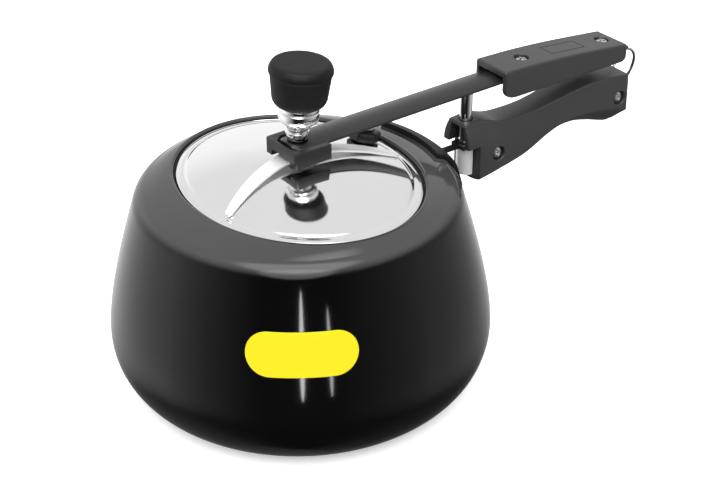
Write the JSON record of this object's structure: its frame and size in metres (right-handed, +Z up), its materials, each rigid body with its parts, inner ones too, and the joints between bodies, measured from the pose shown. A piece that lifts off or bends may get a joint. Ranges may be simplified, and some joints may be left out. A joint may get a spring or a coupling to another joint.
{
  "type": "stovetop pressure cooker",
  "caption": "Round-bellied stovetop pressure cooker with an oval inner lid pulled up by a lever bar, a pressure weight, and a handle that a wire loop locks.",
  "frame": {"origin": "centre of the pot's base, on the surface that the pot stands on", "axes": "+X from the pot's centre along the handles, +Z up, so -Y is the side that carries the label"},
  "size_m": [0.3473, 0.21, 0.1887],
  "materials": {
    "hard_anodised": "glossy black hard-anodised",
    "mirror_steel": "mirror polished stainless steel",
    "chrome_plate": "bright chrome plate",
    "zinc_plate": "bright zinc-plated steel",
    "bakelite": "satin moulded phenolic",
    "coated_steel": "satin black coated steel",
    "moulded_black": "matt moulded black",
    "gasket_rubber": "black rubber",
    "label_film": "yellow printed film, blank"
  },
  "bodies": {
    "pot": {"pot_body": "hard_anodised", "handle_bracket": "coated_steel", "bracket_rivet_near": "zinc_plate", "bracket_rivet_far": "zinc_plate", "flame_guard": "chrome_plate", "fulcrum_post": "chrome_plate", "fulcrum_nut": "zinc_plate", "body_handle": "bakelite", "body_handle_screw_front": "zinc_plate", "body_handle_screw_rear": "zinc_plate", "body_handle_nut_front": "zinc_plate", "body_handle_nut_rear": "zinc_plate", "front_label": "label_film"},
    "lever": {"lever_bar": "coated_steel", "bar_guide": "moulded_black", "lid_handle": "bakelite", "lid_handle_screw_front": "zinc_plate", "lid_handle_screw_rear": "zinc_plate", "lid_handle_nut_front": "zinc_plate", "lid_handle_nut_rear": "zinc_plate"},
    "lid": {"lid": "mirror_steel", "lid_gasket": "gasket_rubber", "vent_tube": "chrome_plate", "vent_nut": "zinc_plate", "vent_collar": "chrome_plate", "leaf_spring": "mirror_steel", "safety_valve_body": "moulded_black", "safety_valve_plug": "chrome_plate", "safety_valve_nut": "zinc_plate"},
    "weight": {"weight_body": "chrome_plate", "weight_cap": "moulded_black", "weight_needle": "zinc_plate"},
    "loop": {"locking_loop": "chrome_plate"}
  },
  "joints": [
    {"name": "lever_hinge", "type": "hinge", "parent": "pot", "child": "lever", "pos_m": [0.116, 0, 0.1415], "axis": [0, -1, 0], "range_deg": [0, 5]},
    {"name": "lid_level", "type": "hinge", "parent": "lever", "child": "lid", "pos_m": [0, 0, 0.1375], "axis": [0, -1, 0], "range_deg": [-5, 0]},
    {"name": "weight_lift", "type": "slide", "parent": "lid", "child": "weight", "axis": [0, 0, 1], "range_m": [0, 0.03]},
    {"name": "loop_hinge", "type": "hinge", "parent": "pot", "child": "loop", "pos_m": [0.2281, 0, 0.1058], "axis": [0, 1, 0], "range_deg": [0, 60]}
  ],
  "couplings": [
    {"joint": "lid_level", "follows": "lever_hinge", "ratio": -1},
    {"joint": "loop_hinge", "follows": "lever_hinge", "ratio": 12}
  ]
}
